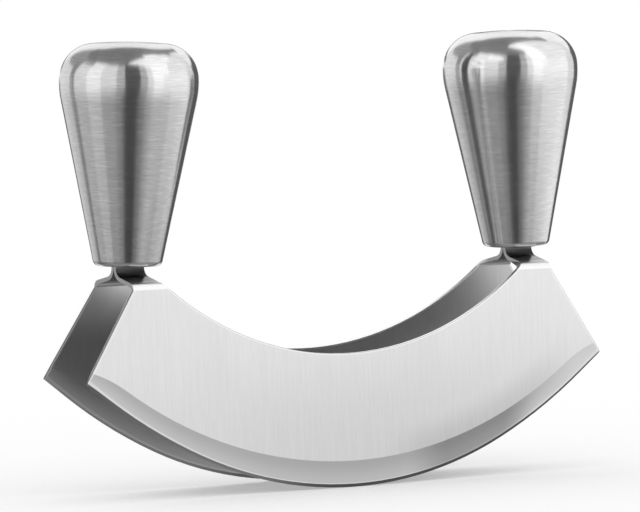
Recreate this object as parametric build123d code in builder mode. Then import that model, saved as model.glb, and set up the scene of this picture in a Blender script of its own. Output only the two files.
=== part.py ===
"""Mezzaluna: two crescent blades carried by two hollow steel handles.

Millimetres. +Z is up, +X runs along the blades from the left handle to the right one, and +Y points
from the front blade to the rear one. The origin lies midway between the blades, under the middle of
the tool, at the height of the lowest point of both cutting edges.
"""
import os
from math import acos, asin, atan2, cos, degrees, hypot, radians, sin, sqrt, tan

from build123d import *

# Blade outline up to the bends, measured along the plate from the edge's lowest point
chord_length = 150.0
edge_mid_radius = 103.3
edge_mid_half_width = 43.5
edge_side_radius = 139.0
edge_straight_run = 6.2
plate_height = 51.5

# Arch between the handles
arch_mid_height = 33.1
arch_end_rise = 1.7
arch_overrun = 4.0

# Ground bevel, then the narrow sharpened band below it
blade_thickness = 1.0
bevel_mid_width = 6.5
bevel_joint_width = 5.5
bevel_tail_width = 4.8
bevel_end_width = 3.0
bevel_tail_run = 8.0
sharpened_root_thickness = 0.48
sharpened_mid_width = 0.8
sharpened_joint_width = 0.65
sharpened_tail_width = 0.5
sharpened_end_width = 0.35
edge_thickness = 0.08

# The pair of blades, closer together above, and their bent shoulders
edge_spacing = 25.1
blade_splay = 3.8
shoulder_width = 8.0
shoulder_slope = 12.0
shoulder_bend_radius = 0.9
shoulder_root_length = 1.0
tang_bend_radius = 2.4
neck_length = 0.25

# Handles
handle_inset = 18.1
handle_lean = 1.5
handle_length = 54.7
handle_max_radius = 17.1
handle_side_radius = 22.0
handle_side_angle = 3.0
handle_shoulder_radius = 8.8
handle_crown_radius = 100.0
handle_base_radius = 8.6
handle_base_rounding = 1.6
shell_wall = 1.0
seam_height = 3.0

# Inside the handles
core_length = 30.0
tang_length = 26.0
tang_end_room = 0.5
pin_radius = 1.25
pin_length = 13.0
lower_pin_height = 9.0
upper_pin_height = 20.0

# Clearances
slot_clearance = 0.1
core_clearance = 0.1
pin_clearance = 0.05

half_chord = chord_length / 2
arch_end_height = plate_height + arch_end_rise
tang_pair_thickness = 2 * blade_thickness
slot_width = shoulder_width + 2 * slot_clearance
slot_thickness = tang_pair_thickness + 2 * slot_clearance
handle_x = half_chord - handle_inset
shoulder_outer_x = handle_x + shoulder_width / 2
shoulder_inner_x = handle_x - shoulder_width / 2
lean = radians(handle_lean)
splay = radians(blade_splay)
slope = radians(shoulder_slope)

# Middle plane of the front blade, whose normal points outwards
blade_plane = Plane(
    origin=(0, -edge_spacing / 2, 0), x_dir=(1, 0, 0), z_dir=(0, -cos(splay), sin(splay))
)

sides = {"left": -1, "right": 1}


def plate_point(height, outward):
    """Point in the YZ plane, this far up the front blade and outwards from its middle plane."""
    y = height * sin(splay) - outward * cos(splay) - edge_spacing / 2
    return Vector(y, height * cos(splay) + outward * sin(splay))


# Corners of the bent strip in the YZ plane: over and under the bend, then at the foot of the tang
bend = radians(90) - splay - slope
outer_bend_radius = shoulder_bend_radius + blade_thickness
bend_height = plate_height + outer_bend_radius * tan(bend / 2)
upper_corner = plate_point(bend_height, blade_thickness / 2)
under_corner = plate_point(bend_height - blade_thickness * tan(bend / 2), -blade_thickness / 2)
upper_foot = Vector(-blade_thickness, upper_corner.Y - (blade_thickness + upper_corner.X) * tan(slope))
under_foot = Vector(0, under_corner.Y - under_corner.X * tan(slope))
handle_base_height = upper_foot.Y + tang_bend_radius * tan((radians(90) - slope) / 2) + neck_length

# The cutting edge: a middle arc, wider arcs at both sides, and straight tails to the tips
edge_mid_centre = Vector(0, edge_mid_radius)
joint_angle = asin(edge_mid_half_width / edge_mid_radius)
to_joint = Vector(sin(joint_angle), -cos(joint_angle))
edge_side_centre = edge_mid_centre + to_joint * (edge_mid_radius - edge_side_radius)


def edge_point(x, width):
    """Point above x on the edge's side arc, this far inwards from the arc."""
    reach = x - edge_side_centre.X
    foot = Vector(x, edge_side_centre.Y - sqrt(edge_side_radius**2 - reach**2))
    return foot + (edge_side_centre - foot).normalized() * width


edge_tail = edge_point(half_chord - edge_straight_run, 0)
tail_slope = (edge_tail.X - edge_side_centre.X) / (edge_side_centre.Y - edge_tail.Y)
tip = Vector(half_chord, edge_tail.Y + edge_straight_run * tail_slope)


def blade_outline(mid_width, joint_width, tail_width, end_width, tail_run):
    """Closed outline of the plate above a line that lies these widths inwards from the edge."""
    joint = edge_point(edge_mid_half_width, joint_width)
    tail = edge_point(half_chord - tail_run, tail_width)
    outer_corner = Vector(shoulder_outer_x, plate_height)
    end = tip + (outer_corner - tip).normalized() * end_width
    middle = ThreePointArc((-joint.X, joint.Y), (0, mid_width), joint)
    with BuildLine() as outline:
        side = TangentArc(joint, tail, tangent=middle % 1)
        if end_width > 0:
            TangentArc(tail, end, tangent=side % 1)
        else:
            Line(tail, end)
        Polyline(end, outer_corner, (0, plate_height))
        mirror(about=Plane.YZ)
        add(middle)
    return outline.edges()


def arch_outline():
    """Space between the handles in the XZ plane: a round hollow with upright sides."""
    foot = Vector(shoulder_inner_x, arch_end_height)
    with BuildLine() as outline:
        Polyline(foot, (shoulder_inner_x, handle_base_height), (0, handle_base_height))
        mirror(about=Plane.YZ)
        ThreePointArc((-foot.X, foot.Y), (0, arch_mid_height), foot)
    return outline.edges()


def shoulder_profile():
    """The front blade's bent strip in the YZ plane: out of the plate, across, and up as a tang."""
    root_height = plate_height - shoulder_root_length
    with BuildLine() as outline:
        upper = FilletPolyline(
            plate_point(root_height, blade_thickness / 2),
            upper_corner,
            upper_foot,
            (-blade_thickness, handle_base_height),
            radius=(outer_bend_radius, tang_bend_radius),
        )
        under = FilletPolyline(
            (0, handle_base_height),
            under_foot,
            under_corner,
            plate_point(root_height, -blade_thickness / 2),
            radius=(tang_bend_radius + blade_thickness, shoulder_bend_radius),
        )
        Line(upper @ 1, under @ 0)
        Line(under @ 1, upper @ 0)
    return outline.edges()


def tang_outline(side):
    """Tang above the handle's underside, leaning with the handle."""
    foot_inner = Vector(side * shoulder_inner_x, handle_base_height)
    foot_outer = Vector(side * shoulder_outer_x, handle_base_height)
    reach = Vector(-side * sin(lean), cos(lean)) * tang_length
    with BuildLine() as outline:
        Polyline(foot_inner, foot_outer, foot_outer + reach, foot_inner + reach, close=True)
    return outline.edges()


def handle_plane(side, height=0):
    """Plane square to the handle's axis, this far above its underside."""
    underside = Plane(
        origin=(side * handle_x, 0, handle_base_height),
        x_dir=(cos(lean), 0, side * sin(lean)),
        z_dir=(-side * sin(lean), 0, cos(lean)),
    )
    return underside.offset(height)


def axis_plane(side):
    """Plane through the handle's axis, for the profiles that turn about it."""
    base = handle_plane(side)
    return Plane(origin=base.origin, x_dir=base.x_dir, z_dir=-base.y_dir)


def handle_axis(side):
    """The handle's own axis."""
    base = handle_plane(side)
    return Axis(base.origin, base.z_dir)


def pin_planes(side):
    """Planes across the handle's axis, one at each pin's height."""
    heights = (lower_pin_height, upper_pin_height)
    bases = [handle_plane(side, height) for height in heights]
    return [Plane(origin=base.origin, x_dir=base.x_dir, z_dir=base.y_dir) for base in bases]


def handle_profile(inset):
    """Half section of the handle's form, drawn in by the inset all round."""
    base_x = handle_base_radius - handle_base_rounding
    side_x = handle_max_radius - handle_side_radius
    side_reach = handle_side_radius - handle_shoulder_radius
    shoulder_x = side_x + side_reach * cos(radians(handle_side_angle))
    crown_y = handle_length - handle_crown_radius
    crown_reach = handle_crown_radius - handle_shoulder_radius
    shoulder_y = crown_y + sqrt(crown_reach**2 - shoulder_x**2)
    side_y = shoulder_y - side_reach * sin(radians(handle_side_angle))
    run = side_x - base_x
    climb = side_y - handle_base_rounding
    opening = acos((handle_base_rounding - handle_side_radius) / hypot(run, climb))
    cone_angle = degrees(atan2(climb, run) - opening)
    crown_angle = degrees(atan2(shoulder_y - crown_y, shoulder_x))
    with BuildLine() as outline:
        base = CenterArc(
            (base_x, handle_base_rounding), handle_base_rounding - inset, -90, cone_angle + 90
        )
        side = CenterArc(
            (side_x, side_y), handle_side_radius - inset, cone_angle, handle_side_angle - cone_angle
        )
        CenterArc(
            (shoulder_x, shoulder_y),
            handle_shoulder_radius - inset,
            handle_side_angle,
            crown_angle - handle_side_angle,
        )
        crown = CenterArc((0, crown_y), handle_crown_radius - inset, crown_angle, 90 - crown_angle)
        Line(base @ 1, side @ 0)
        Polyline(crown @ 1, (0, inset), base @ 0)
    return outline.edges()


def write(piece, name):
    """Label the piece and write it to its own file."""
    piece.part.label = name
    export_step(piece.part, f"parts/{name}.step")


os.makedirs("parts", exist_ok=True)

# Front blade: plate with its bevels, then the two shoulders and tangs
edge_line = blade_outline(0, 0, 0, 0, edge_straight_run)
sharpened_line = blade_outline(
    sharpened_mid_width, sharpened_joint_width, sharpened_tail_width, sharpened_end_width, edge_straight_run
)
bevel_line = blade_outline(
    bevel_mid_width, bevel_joint_width, bevel_tail_width, bevel_end_width, bevel_tail_run
)
blade_stations = (
    (blade_thickness / 2, bevel_line),
    (sharpened_root_thickness / 2, sharpened_line),
    (edge_thickness / 2, edge_line),
    (-edge_thickness / 2, edge_line),
    (-sharpened_root_thickness / 2, sharpened_line),
    (-blade_thickness / 2, bevel_line),
)
with BuildPart() as blade_front:
    for outward, outline in blade_stations:
        with BuildSketch(blade_plane.offset(outward)):
            make_face(outline)
    loft(ruled=True)
    for side in sides.values():
        with BuildSketch(Plane.YZ.offset(side * shoulder_outer_x)):
            make_face(shoulder_profile())
        extrude(amount=-side * (shoulder_width + arch_overrun))
    with BuildSketch(Plane.XZ):
        make_face(arch_outline())
    extrude(amount=edge_spacing, mode=Mode.SUBTRACT)
    for side in sides.values():
        with BuildSketch(Plane.XZ):
            make_face(tang_outline(side))
        extrude(amount=blade_thickness)
        for plane in pin_planes(side):
            with BuildSketch(plane):
                Circle(pin_radius + pin_clearance)
            extrude(amount=tang_pair_thickness, both=True, mode=Mode.SUBTRACT)
write(blade_front, "blade_front")

# Rear blade: the front one's mirror image
with BuildPart() as blade_rear:
    mirror(blade_front.part, about=Plane.XZ)
write(blade_rear, "blade_rear")

for side_name, side in sides.items():
    # Drawn shell, open below at the seam
    with BuildPart() as handle_shell:
        with BuildSketch(axis_plane(side)):
            make_face(handle_profile(0))
            make_face(handle_profile(shell_wall), mode=Mode.SUBTRACT)
            Rectangle(handle_max_radius, seam_height, align=Align.MIN, mode=Mode.SUBTRACT)
        revolve(axis=handle_axis(side))
    write(handle_shell, f"handle_shell_{side_name}")

    # Cap that closes the shell below the seam
    with BuildPart() as handle_base:
        with BuildSketch(axis_plane(side)):
            make_face(handle_profile(0))
            make_face(handle_profile(shell_wall), mode=Mode.SUBTRACT)
            Rectangle(handle_max_radius, seam_height, align=Align.MIN, mode=Mode.INTERSECT)
        revolve(axis=handle_axis(side))
        with BuildSketch(handle_plane(side)):
            Rectangle(slot_width, slot_thickness)
        extrude(amount=seam_height, mode=Mode.SUBTRACT)
    write(handle_base, f"handle_base_{side_name}")

    # Moulded core that fills the lower shell round the tangs
    with BuildPart() as handle_core:
        with BuildSketch(axis_plane(side)):
            make_face(handle_profile(shell_wall + core_clearance))
            Rectangle(handle_max_radius, core_length, align=Align.MIN, mode=Mode.INTERSECT)
        revolve(axis=handle_axis(side))
        with BuildSketch(handle_plane(side)):
            Rectangle(slot_width, slot_thickness)
        extrude(amount=tang_length + tang_end_room, mode=Mode.SUBTRACT)
        for plane in pin_planes(side):
            with BuildSketch(plane):
                Circle(pin_radius + pin_clearance)
            extrude(amount=handle_max_radius, both=True, mode=Mode.SUBTRACT)
    write(handle_core, f"handle_core_{side_name}")

    # Pins across the core and both tangs
    with BuildPart() as tang_pins:
        for plane in pin_planes(side):
            with BuildSketch(plane):
                Circle(pin_radius)
            extrude(amount=pin_length / 2, both=True)
    write(tang_pins, f"tang_pins_{side_name}")
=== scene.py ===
"""Looks of the two-bladed mezzaluna: its steel finishes, with painted shade and highlights, a plain
studio and the camera. Metres.
"""
from math import asin, cos, radians, sin, sqrt

import bpy
from mathutils import Matrix, Vector


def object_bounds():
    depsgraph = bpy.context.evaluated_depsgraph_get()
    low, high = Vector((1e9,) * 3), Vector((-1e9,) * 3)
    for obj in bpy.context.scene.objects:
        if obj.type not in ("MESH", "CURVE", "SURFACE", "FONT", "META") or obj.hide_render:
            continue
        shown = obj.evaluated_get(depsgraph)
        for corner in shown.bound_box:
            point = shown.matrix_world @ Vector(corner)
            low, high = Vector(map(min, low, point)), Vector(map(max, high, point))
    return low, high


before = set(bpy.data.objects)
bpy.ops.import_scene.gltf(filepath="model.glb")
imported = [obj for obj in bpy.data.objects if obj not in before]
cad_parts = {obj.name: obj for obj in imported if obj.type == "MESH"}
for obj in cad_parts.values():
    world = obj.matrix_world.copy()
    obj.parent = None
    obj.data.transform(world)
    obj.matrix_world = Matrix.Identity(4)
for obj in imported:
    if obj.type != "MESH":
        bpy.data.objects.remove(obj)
cad_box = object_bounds()
scene = bpy.context.scene
MM = 0.001
WHITE = (1.0, 1.0, 1.0, 1.0)
RISING = (0.0, 1.0)
FALLING = (1.0, 0.0)

# Camera. It looks along +Y, turned towards +X and tipped down, at the point that comes first here
camera_aim = Vector((-1.31, 0.61, 56.74)) * MM
camera_azimuth = radians(31.712)
camera_tip = radians(3.645)
camera_roll = radians(-0.759)
camera_distance = 1474.4 * MM
camera_lens = 332.889
sensor_width = 36.0
clip_start = 0.05
clip_end = 60.0

# Blade outline, as in the solids
edge_mid_radius = 103.3 * MM
edge_mid_half_width = 43.5 * MM
edge_side_radius = 139.0 * MM
bevel_mid_width = 6.5 * MM
bevel_joint_width = 5.5 * MM
bevel_tail_width = 4.8 * MM
bevel_tail_x = 67.0 * MM
half_chord = 75.0 * MM
edge_straight_run = 6.2 * MM
plate_height = 51.5 * MM
shoulder_outer_x = 60.9 * MM
shoulder_inner_x = 52.9 * MM
arch_mid_height = 33.1 * MM
arch_end_height = 53.2 * MM
edge_spacing = 25.1 * MM
blade_splay = radians(3.8)
arch_rise = arch_end_height - arch_mid_height
arch_radius = (shoulder_inner_x**2 + arch_rise**2) / (2 * arch_rise)
arch_centre_z = arch_mid_height + arch_radius
plate_middle = edge_spacing / 2 * cos(blade_splay)

# Handle axes, as in the solids
handle_x = 56.9 * MM
handle_base_height = 56.85 * MM
handle_lean = radians(1.5)

# Which way each blade and each handle lies from the middle
blade_sides = {"front": -1, "rear": 1}
handle_sides = {"left": -1, "right": 1}


def grey(level):
    """Neutral colour of this level."""
    return (level, level, level, 1.0)


class Tree:
    """A node tree under construction. Its methods add nodes and give back outputs."""

    def __init__(self, owner):
        owner.use_nodes = True
        self.tree = owner.node_tree
        self.tree.nodes.clear()

    def add(self, kind, inputs, **settings):
        """All outputs of a new node, whose inputs are links or fixed values."""
        made = self.tree.nodes.new("ShaderNode" + kind)
        for key, value in settings.items():
            setattr(made, key, value)
        for key, value in inputs.items():
            if isinstance(value, bpy.types.NodeSocket):
                self.tree.links.new(value, made.inputs[key])
            else:
                made.inputs[key].default_value = value
        return made.outputs

    def node(self, kind, inputs, output=0, **settings):
        return self.add(kind, inputs, **settings)[output]

    def math(self, operation, *values):
        return self.node("Math", dict(enumerate(values)), operation=operation)

    def vector(self, operation, *values, output=0):
        return self.node("VectorMath", dict(enumerate(values)), output, operation=operation)

    def combine(self, x, y, z):
        return self.node("CombineXYZ", {"X": x, "Y": y, "Z": z})

    def split(self, vector):
        return self.add("SeparateXYZ", {0: vector})

    def grey(self, level):
        return self.combine(level, level, level)

    def ramp(self, value, places, levels=RISING):
        """Value carried smoothly from the two places onto the two levels, and held outside them."""
        inputs = {
            "Value": value,
            "From Min": places[0],
            "From Max": places[1],
            "To Min": levels[0],
            "To Max": levels[1],
        }
        return self.node("MapRange", inputs, interpolation_type="SMOOTHSTEP")

    def window(self, value, opening, closing):
        """1 from the opening to the closing, 0 outside them."""
        opened = self.ramp(value, opening)
        return self.math("MULTIPLY", opened, self.ramp(value, closing, FALLING))

    def blend(self, factor, first, second):
        """First where the factor is 0, second where it is 1."""
        return self.node("Mix", {0: factor, 2: first, 3: second})

    def noise(self, place, repeats, detail, roughness):
        """Noise with this many repeats per unit along each axis."""
        inputs = {
            "Vector": self.vector("MULTIPLY", place, repeats),
            "Scale": 1.0,
            "Detail": detail,
            "Roughness": roughness,
        }
        return self.node("TexNoise", inputs)

    def finish(self, kind, shader):
        self.add("Output" + kind, {"Surface": shader})


def metal(tree, level, roughness, anisotropy, tangent, height, depth):
    """Neutral steel with marks of this depth, whose reflections stretch along the tangent."""
    normal = tree.node("Bump", {"Height": height, "Distance": depth, "Strength": 1.0})
    inputs = {
        "Base Color": tree.grey(level),
        "Metallic": 1.0,
        "Roughness": roughness,
        "Anisotropic": anisotropy,
        "Tangent": tangent,
        "Normal": normal,
    }
    return tree.node("BsdfPrincipled", inputs)


# Least angles from the plate's faces to the bevel, to the honed band and to the cut edges
least_bevel_tip = radians(0.8)
least_honed_tip = radians(9.0)
least_cut_tip = radians(35.0)

# Grinding on the blades: noises as repeats per metre, octaves and roughness, then the steel
coarse_grinding = ((1500.0, 0.0, 45.0), 3.0, 0.6)
fine_grinding = ((4200.0, 0.0, 160.0), 2.0, 0.6)
grinding_cloud = ((40.0, 40.0, 25.0), 2.0, 0.5)
noise_range = (0.3, 0.7)
grinding_depth = 0.003 * MM
blade_roughness = (0.28, 0.32)
blade_anisotropy = 0.75

# Steel levels on the plate, the bevel and the honed band, and the places where they change. The bevel is
# painted in shade, darker towards the ridge, with a painted highlight along the edge; the inner faces
# are painted in shade; the honed band is painted in shade, darker towards the right end
face_levels = (0.725, 0.785)
bevel_shade_levels = (0.63, 0.49)
bevel_shares = (0.1, 1.0)
edge_highlight_level = 0.85
edge_highlight_strength = 0.8
edge_highlight_end = (0.9 * MM, 1.2 * MM)
inner_face_shade_share = 0.8
turn_to_outside = (-0.1, 0.1)
honed_shade_levels = (0.62, 0.22)
honed_change_x = (-35.0 * MM, -5.0 * MM)

# Painted highlight and shade on the rim and the cut edges: a highlight line and a thin shade line round
# the plate, a dark core between highlights on the cut edges, and a highlight where they face upwards
rim_highlight_level = 0.90
rim_highlight_end = (0.30 * MM, 0.45 * MM)
rim_shade_level = 0.35
rim_shade_end = (0.04 * MM, 0.12 * MM)
cut_shade_and_highlight_levels = (0.08, 0.98)
cut_core_end = (0.18 * MM, 0.30 * MM)
upward_cut_highlight_level = 0.95
turn_upwards = (0.80, 0.92)

# Painted shade on the tang and the foot of the flange and a painted highlight on the bend, above the
# plate, by distance from the middle plane between the blades
tang_shade_levels = (0.17, 0.45)
tang_end = (3.0 * MM, 4.0 * MM)
bend_highlight_level = 0.9
bend_start = (6.0 * MM, 8.8 * MM)
upper_side_level = 0.45
least_turn_aside = 0.7

# Painted shade on the front blade's grind near its right end, and a painted highlight on the bevel
# beyond it
bevel_zone_x = ((14.0 * MM, 28.0 * MM), (44.0 * MM, 56.0 * MM))
bevel_shade_strength = 0.38
face_zone_x = ((5.0 * MM, 25.0 * MM), (50.0 * MM, 70.0 * MM))
face_shade_strength = 0.17
face_zone_reach = 8.0 * MM
end_bevel_x = (50.0 * MM, 68.0 * MM)
end_bevel_highlight_level = 0.76
end_bevel_highlight_strength = 0.6

# Painted light on a corner of the rear blade's inner face
corner_height = (38.0 * MM, 47.0 * MM)
corner_x = (-60.0 * MM, -46.0 * MM)
corner_light_level = 0.98


def blade_arcs():
    """Where the arcs meet, and the edge line and the bevel's upper line, each as two arcs."""
    joint_angle = asin(edge_mid_half_width / edge_mid_radius)
    to_joint = Vector((sin(joint_angle), -cos(joint_angle)))
    edge_centre = Vector((0, edge_mid_radius))
    side_centre = edge_centre + to_joint * (edge_mid_radius - edge_side_radius)

    def inset(x, width):
        foot = Vector((x, side_centre.y - sqrt(edge_side_radius**2 - (x - side_centre.x) ** 2)))
        return foot + (side_centre - foot).normalized() * width

    joint = inset(edge_mid_half_width, bevel_joint_width)
    tail = inset(bevel_tail_x, bevel_tail_width)
    rise = joint.y - bevel_mid_width
    mid_radius = (joint.x**2 + rise**2) / (2 * rise)
    mid_centre = Vector((0, bevel_mid_width + mid_radius))
    inward = (mid_centre - joint).normalized()
    chord = tail - joint
    bevel_side_radius = chord.length_squared / (2 * chord.dot(inward))
    bevel_side_centre = joint + inward * bevel_side_radius
    edge = ((edge_centre, edge_mid_radius), (side_centre, edge_side_radius))
    bevel = ((mid_centre, mid_radius), (bevel_side_centre, bevel_side_radius))
    return joint.x, edge, bevel


joint_x, edge_arcs, bevel_arcs = blade_arcs()


def end_line():
    """Outward normal of the blade's end line and its distance from the origin, in the blade's plane."""
    side_centre, side_radius = edge_arcs[1]
    tail_x = half_chord - edge_straight_run
    tail = Vector((tail_x, side_centre.y - sqrt(side_radius**2 - (tail_x - side_centre.x) ** 2)))
    tail_slope = (tail.x - side_centre.x) / (side_centre.y - tail.y)
    tip = Vector((half_chord, tail.y + edge_straight_run * tail_slope))
    along = (Vector((shoulder_outer_x, plate_height)) - tip).normalized()
    normal = Vector((along.y, -along.x))
    return (normal.x, normal.y, 0.0), normal.dot(tip)


def distance_inside(tree, half_x, height, arcs):
    """Distance inwards from a line of two arcs, in the blade's own plane."""
    point = tree.combine(half_x, height, 0.0)
    found = []
    for centre, radius in arcs:
        reach = tree.vector("DISTANCE", point, (centre.x, centre.y, 0.0), output="Value")
        found.append(tree.math("SUBTRACT", radius, reach))
    beyond = tree.math("GREATER_THAN", half_x, joint_x)
    return tree.blend(beyond, *found)


def distance_from_rim(tree, x, half_x, z, height):
    """Distance inwards from the arch or from the end line, whichever is nearer."""
    on_arch = (0.0, arch_centre_z, 0.0)
    arch_reach = tree.vector("DISTANCE", tree.combine(x, z, 0.0), on_arch, output="Value")
    from_arch = tree.math("SUBTRACT", arch_reach, arch_radius)
    end_normal, end_offset = end_line()
    point = tree.combine(half_x, height, 0.0)
    end_reach = tree.vector("DOT_PRODUCT", point, end_normal, output="Value")
    from_end = tree.math("SUBTRACT", end_offset, end_reach)
    return tree.math("MINIMUM", from_arch, from_end)


def painted_shade_zone(tree, x, from_ridge, face_level, bevel_level):
    """Painted shade on the front blade's grind, on both sides of the ridge near its right end, and a
    painted highlight on the bevel at the end.
    """
    on_bevel = tree.math("MULTIPLY", tree.window(x, *bevel_zone_x), bevel_shade_strength)
    bevel_level = tree.blend(on_bevel, bevel_level, 0.0)
    at_end = tree.ramp(x, end_bevel_x, (0.0, end_bevel_highlight_strength))
    bevel_level = tree.blend(at_end, bevel_level, end_bevel_highlight_level)
    above_ridge = tree.ramp(from_ridge, (0.0, face_zone_reach), (face_shade_strength, 0.0))
    on_face = tree.math("MULTIPLY", tree.window(x, *face_zone_x), above_ridge)
    return tree.blend(on_face, face_level, 0.0), bevel_level


def painted_light_corner(tree, x, height, facing, level):
    """Painted light on a corner of the rear blade's inner face, below its left shoulder."""
    upper = tree.ramp(height, corner_height)
    outer = tree.ramp(x, corner_x, FALLING)
    inner_face = tree.math("LESS_THAN", facing, 0.0)
    corner = tree.math("MULTIPLY", tree.math("MULTIPLY", upper, outer), inner_face)
    return tree.blend(corner, level, corner_light_level)


def upper_shade_and_highlight(tree, from_middle, turned_aside):
    """Painted shade on the tang and the foot of the flange, painted highlight on the bend at the plate,
    and one level for the sides turned aside.
    """
    level = tree.ramp(from_middle, tang_end, tang_shade_levels)
    level = tree.blend(tree.ramp(from_middle, bend_start), level, bend_highlight_level)
    is_side = tree.math("GREATER_THAN", turned_aside, least_turn_aside)
    return tree.blend(is_side, level, upper_side_level)


def blade_material(name, side_y):
    """Ground blade steel: upright grinding and a bevel, with painted shade and highlights on the bevel,
    the honed band, the rim, the cut edges and the parts above the plate.
    """
    material = bpy.data.materials.new(name)
    tree = Tree(material)
    place = tree.node("TexCoord", {}, "Object")
    x, y, z = tree.split(place)
    true_normal = tree.node("NewGeometry", {}, "True Normal")
    turned = tree.split(true_normal)
    half_x = tree.math("ABSOLUTE", x)
    height = tree.math("DIVIDE", z, cos(blade_splay))

    # How far the surface is tipped from the plate's two faces
    plate_normal = (0.0, side_y * cos(blade_splay), sin(blade_splay))
    facing = tree.vector("DOT_PRODUCT", true_normal, plate_normal, output="Value")
    flatness = tree.math("ABSOLUTE", facing)
    not_flat = tree.math("LESS_THAN", flatness, cos(least_bevel_tip))
    is_ground = tree.math("GREATER_THAN", flatness, cos(least_honed_tip))
    is_bevel = tree.math("MULTIPLY", not_flat, is_ground)
    is_cut = tree.math("LESS_THAN", flatness, cos(least_cut_tip))
    is_honed = tree.math("SUBTRACT", 1.0, tree.math("MAXIMUM", is_ground, is_cut))

    # Upright grinding marks, with finer ones between them
    marks = tree.noise(place, *coarse_grinding)
    fine_marks = tree.noise(place, *fine_grinding)
    mark_height = tree.blend(0.5, marks, fine_marks)

    # Plate, bevel and honed band, with painted shade on the bevel, the inner faces and the honed band,
    # and a painted highlight along the edge
    from_edge = distance_inside(tree, half_x, height, edge_arcs)
    from_ridge = distance_inside(tree, half_x, height, bevel_arcs)
    bevel_width = tree.math("SUBTRACT", from_edge, from_ridge)
    bevel_share = tree.math("DIVIDE", from_edge, bevel_width)
    face_level = tree.ramp(mark_height, noise_range, face_levels)
    bevel_level = tree.ramp(bevel_share, bevel_shares, bevel_shade_levels)
    edge_line = tree.ramp(from_edge, edge_highlight_end, (edge_highlight_strength, 0.0))
    bevel_level = tree.blend(edge_line, bevel_level, edge_highlight_level)
    # Painted shade near the front blade's right end, and a painted highlight on the bevel beyond it
    if side_y < 0:
        face_level, bevel_level = painted_shade_zone(tree, x, from_ridge, face_level, bevel_level)
    level = tree.blend(is_bevel, face_level, bevel_level)
    outside_share = tree.ramp(facing, turn_to_outside, (inner_face_shade_share, 1.0))
    level = tree.math("MULTIPLY", level, outside_share)
    # Painted light on a corner of the rear blade's inner face
    if side_y > 0:
        level = painted_light_corner(tree, x, height, facing, level)
    level = tree.blend(is_honed, level, tree.ramp(x, honed_change_x, honed_shade_levels))

    # Painted highlight line and thin painted shade line round the plate, and its cut edges painted with
    # a dark core, lighter where they face upwards
    from_rim = distance_from_rim(tree, x, half_x, z, height)
    level = tree.blend(tree.ramp(from_rim, rim_highlight_end, FALLING), level, rim_highlight_level)
    level = tree.blend(tree.ramp(from_rim, rim_shade_end, FALLING), level, rim_shade_level)
    across = tree.vector("DOT_PRODUCT", place, plate_normal, output="Value")
    from_core = tree.math("ABSOLUTE", tree.math("SUBTRACT", across, plate_middle))
    cut_level = tree.ramp(from_core, cut_core_end, cut_shade_and_highlight_levels)
    cut_level = tree.blend(tree.ramp(turned["Z"], turn_upwards), cut_level, upward_cut_highlight_level)
    level = tree.blend(is_cut, level, cut_level)

    # Bends, flanges and tangs above the plate, with painted shade and a painted highlight
    turned_aside = tree.math("ABSOLUTE", turned["X"])
    upper_level = upper_shade_and_highlight(tree, tree.math("ABSOLUTE", y), turned_aside)
    is_upper = tree.math("GREATER_THAN", height, plate_height)
    level = tree.blend(is_upper, level, upper_level)

    roughness = tree.ramp(tree.noise(place, *grinding_cloud), noise_range, blade_roughness)
    across_marks = tree.vector("CROSS_PRODUCT", true_normal, (0.0, 0.0, 1.0))
    tangent = tree.vector("NORMALIZE", across_marks)
    steel = metal(tree, level, roughness, blade_anisotropy, tangent, mark_height, grinding_depth)
    tree.finish("Material", steel)
    return material


# Turning on the handles: noises as scale round the axis, repeats per metre of profile and octaves
coarse_turning = (2.0, 1400.0, 3.0)
fine_turning = (5.0, 4200.0, 2.0)
turning_cloud = (2.0, 60.0, 2.0)
scratch_turning = (4.0, 4200.0, 0.0)
turning_noise_roughness = 0.6
turning_range = (0.35, 0.65)
turning_depth = 0.004 * MM

# Steel of the handles: levels of the marks and the scratches, and how the crown is smoother. The left
# handle's levels are lower, as painted shade
turning_tone_and_shade_levels = {"left": (0.70, 0.79), "right": (0.75, 0.84)}
scratch_range = (0.62, 0.76)
scratch_strength = 0.4
scratch_level = 0.98
cone_roughness = (0.215, 0.255)
crown_roughness = 0.17
crown_start = (40.0 * MM, 47.0 * MM)
handle_anisotropy = 0.9


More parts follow.
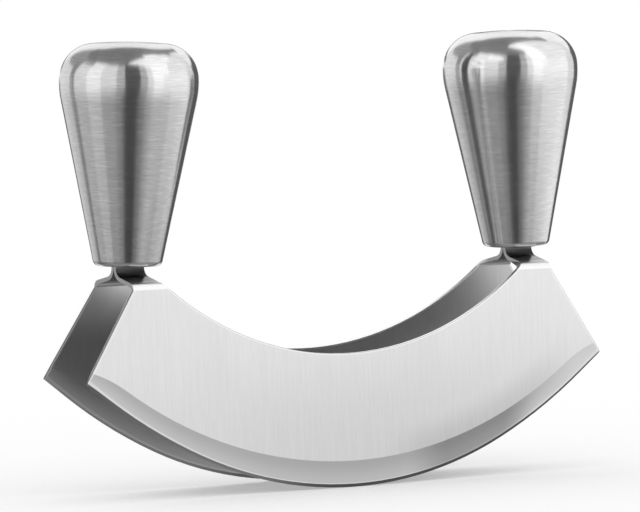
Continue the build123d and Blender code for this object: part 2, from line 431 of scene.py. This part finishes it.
def handle_material(side_name, side):
    """Satin steel turned on the handle's own leaning axis, with the left handle painted darker, in
    shade.
    """
    material = bpy.data.materials.new(f"handle_satin_steel_{side_name}")
    tree = Tree(material)
    place = tree.node("TexCoord", {}, "Object")
    normal = tree.node("NewGeometry", {}, "Normal")
    axis = (-side * sin(handle_lean), 0.0, cos(handle_lean))
    foot = (side * handle_x, 0.0, handle_base_height)
    reach = tree.vector("SUBTRACT", place, foot)
    height = tree.vector("DOT_PRODUCT", reach, axis, output="Value")
    along = tree.vector("MULTIPLY", tree.combine(height, height, height), axis)
    radial = tree.vector("SUBTRACT", reach, along)
    radius = tree.vector("LENGTH", radial, output="Value")
    around = tree.vector("NORMALIZE", tree.vector("CROSS_PRODUCT", axis, radial))
    meridian = tree.vector("NORMALIZE", tree.vector("CROSS_PRODUCT", around, normal))

    # Marks follow the circle and repeat along the profile
    profile = tree.math("SUBTRACT", height, radius)
    heading = tree.split(around)
    spin = tree.combine(heading["X"], heading["Y"], profile)

    def turned(scale, pitch, detail):
        return tree.noise(spin, (scale, scale, pitch), detail, turning_noise_roughness)

    mark_height = tree.blend(0.5, turned(*coarse_turning), turned(*fine_turning))
    # Turning marks vary the tone; the left handle's levels are lower, as painted shade
    level = tree.ramp(mark_height, turning_range, turning_tone_and_shade_levels[side_name])
    scratches = tree.ramp(turned(*scratch_turning), scratch_range, (0.0, scratch_strength))
    level = tree.blend(scratches, level, scratch_level)
    on_cone = tree.ramp(turned(*turning_cloud), noise_range, cone_roughness)
    roughness = tree.ramp(height, crown_start, (on_cone, crown_roughness))
    steel = metal(tree, level, roughness, handle_anisotropy, meridian, mark_height, turning_depth)
    tree.finish("Material", steel)
    return material


# Grain of the hidden pieces: noise, depth, shares of the level, and spread of the roughness
grain_detail = 3.0
grain_noise_roughness = 0.55
grain_depth = 0.01 * MM
grain_shares = (0.92, 1.06)
grain_spread = 0.05


def plain_material(name, level, metallic, roughness, scale):
    """Finish of the hidden pieces, the moulded plug and the drawn pins."""
    material = bpy.data.materials.new(name)
    tree = Tree(material)
    place = tree.node("TexCoord", {}, "Object")
    grain = tree.noise(place, (scale, scale, scale), grain_detail, grain_noise_roughness)
    tone = tree.ramp(grain, noise_range, [level * share for share in grain_shares])
    inputs = {
        "Base Color": tree.grey(tone),
        "Metallic": metallic,
        "Roughness": tree.ramp(grain, noise_range, (roughness - grain_spread, roughness + grain_spread)),
        "Normal": tree.node("Bump", {"Height": grain, "Distance": grain_depth, "Strength": 1.0}),
    }
    tree.finish("Material", tree.node("BsdfPrincipled", inputs))
    return material


def dress(node, material):
    """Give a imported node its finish."""
    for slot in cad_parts[node].material_slots:
        slot.material = material


for blade_name, side_y in blade_sides.items():
    dress(f"blade_{blade_name}", blade_material(f"ground_steel_{blade_name}", side_y))
core_plastic = plain_material("core_plastic", level=0.08, metallic=0.0, roughness=0.5, scale=400.0)
pin_steel = plain_material("pin_steel", level=0.6, metallic=1.0, roughness=0.3, scale=900.0)
for side_name, side in handle_sides.items():
    steel = handle_material(side_name, side)
    dress(f"handle_shell_{side_name}", steel)
    dress(f"handle_base_{side_name}", steel)
    dress(f"handle_core_{side_name}", core_plastic)
    dress(f"tang_pins_{side_name}", pin_steel)

# Studio: a white world, and a pale floor that shows as white where nothing shades it
world = bpy.data.worlds.new("white_world")
scene.world = world
sky = Tree(world)
sky.finish("World", sky.node("Background", {"Color": WHITE, "Strength": 1.0}))

floor_size = 24.0
floor_z = cad_box[0][2]
floor_albedo = 0.85


def square(half_width):
    """Corners of a square round the origin."""
    return (
        (-half_width, -half_width),
        (half_width, -half_width),
        (half_width, half_width),
        (-half_width, half_width),
    )


def sheet_object(name, points, faces, material):
    """Stage mesh that isn't part of the object."""
    mesh = bpy.data.meshes.new(name)
    mesh.from_pydata(points, [], faces)
    mesh.materials.append(material)
    made = bpy.data.objects.new(name, mesh)
    scene.collection.objects.link(made)
    return made


def floor_material():
    """Diffuse floor that glows just enough to show as white where it is fully lit."""
    material = bpy.data.materials.new("pale_floor")
    tree = Tree(material)
    diffuse = tree.node("BsdfDiffuse", {"Color": grey(floor_albedo)})
    rays = tree.add("LightPath", {})
    seen = tree.math("MAXIMUM", rays["Is Camera Ray"], rays["Is Glossy Ray"])
    seen = tree.math("MAXIMUM", seen, rays["Is Transmission Ray"])
    missing_share = tree.math("MULTIPLY", seen, 1.0 - floor_albedo)
    glow = tree.node("Emission", {"Color": WHITE, "Strength": missing_share})
    tree.finish("Material", tree.node("AddShader", {0: diffuse, 1: glow}))
    return material


# The steel reflects the darker card below it in place of the floor
floor_points = [(x, y, floor_z) for x, y in square(floor_size / 2)]
floor = sheet_object("floor", floor_points, [(0, 1, 2, 3)], floor_material())
floor.visible_glossy = False

# Wall of cards round the object that only its reflections see. On the camera's side it leans
# aside below slant_start, and its light falls off from card_full down to card_dim
card_distance = 1.3
card_bottom = -1.2
card_top = 1.5
card_step = 3.0
slant_start = -0.05
slant_end = -0.46
card_slant = -8.0
card_full = 0.10
card_dim = -0.66
card_low_share = 0.2
gap_level = 0.12
back_level = 1.05

# Start and end of each card, by azimuth in degrees from -Y towards +X, and its level
cards = (
    ("left_box", -104, -78, 1.11),
    ("left_shade", -52, -38, 0.54),
    ("camera_gap", -38, -13, 0.11),
    ("front_shade", -13, -1, 0.50),
    ("front_wall", -1, 9, 0.94),
    ("front_box", 9, 27, 1.26),
    ("right_wall", 27, 84, 1.12),
    ("right_shade", 84, 106, 0.85),
    ("back_right", 137, 147, back_level),
    ("back_edge", 175, 180, 0.79),
)
# Those that change at some height: start, end, level below it, the height, level above it
split_cards = (
    ("back_left", -180, -143, 0.84, 0.60, 0.35),
    ("back_left_shade", -143, -131, 0.45, 0.30, 0.30),
    ("right_gap", 106, 137, gap_level, 0.45, back_level),
    ("back_gap", 147, 175, gap_level, 0.07, back_level),
    ("left_side", -131, -104, 0.87, 1.10, 0.30),
    ("left_wall", -78, -52, 0.75, -0.12, 0.88),
)
# Cards in front of the wall: start, end, level, lowest and highest point, and distance
inner_cards = (
    ("back_top", 125, 175, 1.10, 0.70, card_top, 1.05),
    ("back_line", 125, 175, 0.12, 0.15, 0.28, 1.25),
    ("back_low", 120, 180, 1.10, card_bottom, -0.35, 1.20),
)

# Level cards above the object and below it: height, level and corners
flat_reach = 1.4
box_height = 0.385
top_box_corners = (
    (0.0, -0.05), (0.08, -0.015), (0.10, -0.06), (0.58, -0.75), (0.15, -0.75), (0.05, -0.2),
    (0.0, -0.08),
)
top_side_corners = (
    (0.08, -0.015), (0.12, 0.0), (0.37, 0.04), (0.9, 0.08), (0.9, -0.75), (0.58, -0.75), (0.10, -0.06),
)
wedge_corners = (
    (-0.085, -0.048), (-0.035, -0.09), (-0.005, -0.06), (-0.005, -0.018), (-0.03, -0.025),
    (-0.057, -0.033),
)
crescent_corners = (
    (-0.054, -0.017), (-0.042, -0.0145), (-0.033, -0.009), (-0.026, 0.0005), (-0.020, 0.006),
    (-0.023, 0.014), (-0.029, 0.006), (-0.038, -0.001), (-0.045, -0.004), (-0.055, -0.007),
)
flat_cards = (
    ("ceiling", card_top, 0.22, square(flat_reach)),
    ("below", card_bottom, 0.3, square(flat_reach)),
    ("top_box", box_height, 1.30, top_box_corners),
    ("top_side", box_height, 1.0, top_side_corners),
    ("wedge", 0.16, 1.2, wedge_corners),
    ("crescent", 0.130, 0.22, crescent_corners),
)

# Narrow stand beside the left handle, edge-on to it: reach, azimuth below, azimuth above
stand_edges = ((0.10, -128, -130), (0.35, -136, -134))
stand_bottom = -0.15
stand_top = 0.35
stand_level = 0.08

# Low cards round the right handle: start, end and level
low_cards = (
    ("low_right", 25, 105, 1.0),
    ("low_middle", 5, 25, 0.7),
)
low_card_step = 10
low_card_reach = 0.25
low_card_bottom = -0.03
low_card_top = 0.037


def glow_material(name, level, falls=False):
    """Even light, or light that falls off below the object."""
    material = bpy.data.materials.new(name)
    tree = Tree(material)
    strength = level
    if falls:
        place = tree.split(tree.node("TexCoord", {}, "Object"))
        fall = tree.ramp(place["Z"], (card_dim, card_full), (card_low_share, 1.0))
        strength = tree.math("MULTIPLY", fall, level)
    tree.finish("Material", tree.node("Emission", {"Color": WHITE, "Strength": strength}))
    return material


def card_object(name, points, faces, level, falls=False):
    """Glowing card that the reflections alone see."""
    card = sheet_object(name, points, faces, glow_material(name, level, falls))
    card.visible_camera = False
    card.visible_diffuse = False
    card.visible_shadow = False
    card.visible_volume_scatter = False


def strip_card(name, columns, level, falls=False):
    """Curved card with these upright columns of points."""
    rows = len(columns[0])
    faces = []
    for column in range(len(columns) - 1):
        for row in range(rows - 1):
            corner = column * rows + row
            faces.append((corner, corner + 1, corner + 1 + rows, corner + rows))
    points = [point for column in columns for point in column]
    card_object(name, points, faces, level, falls)


def wall_card(name, start, end, level, low, high, distance=card_distance, falls=True):
    """Upright card between two azimuths and two heights."""
    heights = [low] + [z for z in (slant_end, slant_start) if low < z < high] + [high]
    count = max(1, round((end - start) / card_step))
    columns = []
    for step in range(count + 1):
        azimuth = start + (end - start) * step / count
        weight = max(0.0, cos(radians(azimuth) + camera_azimuth)) ** 2
        column = []
        for z in heights:
            slant = card_slant * weight if z <= slant_end else 0.0
            turned = radians(azimuth + slant)
            column.append((sin(turned) * distance, -cos(turned) * distance, z))
        columns.append(column)
    strip_card(name, columns, level, falls)


def beside(side, azimuth, reach, z):
    """Point at this azimuth and reach from a handle's axis."""
    turned = radians(azimuth)
    return (side * handle_x + sin(turned) * reach, -cos(turned) * reach, z)


for name, start, end, level in cards:
    wall_card(f"card_{name}", start, end, level, card_bottom, card_top)
for name, start, end, low_level, split, high_level in split_cards:
    wall_card(f"card_{name}_low", start, end, low_level, card_bottom, split)
    wall_card(f"card_{name}_high", start, end, high_level, split, card_top)
for name, start, end, level, low, high, distance in inner_cards:
    wall_card(f"card_{name}", start, end, level, low, high, distance, falls=False)
for name, height, level, corners in flat_cards:
    points = [(x, y, height) for x, y in corners]
    card_object(f"card_{name}", points, [tuple(range(len(points)))], level)

stand_side = handle_sides["left"]
stand_columns = [
    (beside(stand_side, below, reach, stand_bottom), beside(stand_side, above, reach, stand_top))
    for reach, below, above in stand_edges
]
strip_card("card_stand", stand_columns, stand_level)

low_side = handle_sides["right"]
for name, start, end, level in low_cards:
    low_columns = []
    for azimuth in range(start, end + 1, low_card_step):
        foot = beside(low_side, azimuth, low_card_reach, low_card_bottom)
        head = beside(low_side, azimuth, low_card_reach, low_card_top)
        low_columns.append((foot, head))
    strip_card(f"card_{name}", low_columns, level)

# Camera
lens = bpy.data.cameras.new("camera")
lens.sensor_width = sensor_width
lens.lens = camera_lens
lens.clip_start = clip_start
lens.clip_end = clip_end
camera = bpy.data.objects.new("camera", lens)
scene.collection.objects.link(camera)
turn = Matrix.Rotation(-camera_azimuth, 4, "Z") @ Matrix.Rotation(radians(90) - camera_tip, 4, "X")
turn = turn @ Matrix.Rotation(camera_roll, 4, "Z")
back = turn @ Vector((0, 0, camera_distance))
camera.matrix_world = Matrix.Translation(camera_aim + back) @ turn
scene.camera = camera

scene.view_settings.view_transform = "Standard"
